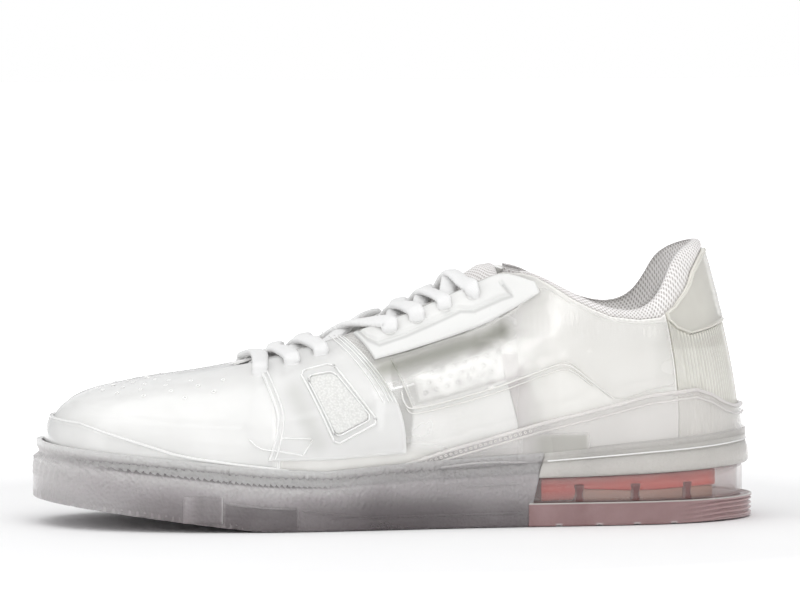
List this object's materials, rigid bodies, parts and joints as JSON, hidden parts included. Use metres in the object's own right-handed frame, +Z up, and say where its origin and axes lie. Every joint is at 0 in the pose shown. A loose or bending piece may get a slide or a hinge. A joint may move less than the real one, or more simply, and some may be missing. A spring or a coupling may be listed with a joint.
{
  "type": "sneaker",
  "caption": "Clear low-top sneaker with a see-through moulded upper, a translucent cupsole, a windowed cushion heel, a padded mesh collar and white laces.",
  "frame": {"origin": "middle of the shoe's box, on the ground", "axes": "+X from toe to heel, -Y the lateral side, +Z up"},
  "size_m": [0.3015, 0.1117, 0.1161],
  "materials": {
    "upper_clear": "clear moulded film, glossy",
    "overlay_clear": "clear welded overlay, glossy",
    "counter_clear": "clear ribbed heel film, warm grey",
    "cup_clear": "clear soft rubber, satin",
    "sole_clear": "translucent grey lilac rubber, satin",
    "sole_tinted": "translucent mauve rubber",
    "sole_core": "cloudy moulded midsole",
    "air_clear": "clear bladder film",
    "cushion_foam": "coral red cushioning",
    "cushion_post": "dark red posts",
    "board": "stitched insole board",
    "sockliner": "white knit over foam",
    "mesh_lining": "white spacer mesh over foam",
    "lace_cord": "white woven lace",
    "aglet_tip": "clear film tip",
    "badge_rubber": "stippled moulded badge",
    "eyestay_white": "white glossy reinforcement",
    "inner_white": "white synthetic panel",
    "inner_webbing": "grey webbing"
  },
  "bodies": {
    "shoe": {"outsole": "sole_clear", "heel_outsole": "sole_tinted", "sidewall": "sole_clear", "midsole_core": "sole_core", "air_unit": "air_clear", "cushion_core": "cushion_foam", "cushion_posts": "cushion_post", "heel_flange": "sole_clear", "heel_platform": "sole_core", "heel_cup": "cup_clear", "cup_bead": "cup_clear", "insole_board": "board", "toe_box": "upper_clear", "toe_rand": "overlay_clear", "heel_counter": "counter_clear", "heel_tab": "counter_clear", "collar_lining": "mesh_lining", "lace": "lace_cord", "aglets": "aglet_tip", "quarter_lateral": "upper_clear", "quarter_medial": "upper_clear", "quarter_overlay_lateral": "overlay_clear", "quarter_overlay_medial": "overlay_clear", "strap_lateral": "overlay_clear", "strap_medial": "overlay_clear", "badge_frame_lateral": "overlay_clear", "badge_frame_medial": "overlay_clear", "badge_plate_lateral": "badge_rubber", "badge_plate_medial": "badge_rubber", "eyestay_lateral": "eyestay_white", "eyestay_medial": "eyestay_white", "perforated_panel_lateral": "inner_white", "perforated_panel_medial": "inner_white", "midfoot_panel_lateral": "inner_white", "midfoot_panel_medial": "inner_white", "inner_strap_lateral": "inner_webbing", "inner_strap_medial": "inner_webbing", "sole_insert_lateral": "sole_clear", "sole_insert_medial": "sole_clear"},
    "tongue": {"tongue": "mesh_lining", "tongue_lining": "mesh_lining"},
    "sockliner": {"sockliner": "sockliner"}
  },
  "joints": [
    {"name": "tongue_press", "type": "hinge", "parent": "shoe", "child": "tongue", "pos_m": [-0.063, 0, 0.0605], "axis": [0, 1, 0], "range_deg": [0, 5]},
    {"name": "sockliner_lift", "type": "hinge", "parent": "shoe", "child": "sockliner", "pos_m": [-0.1406, 0, 0.0297], "axis": [0, -1, 0], "range_deg": [0, 7]}
  ]
}
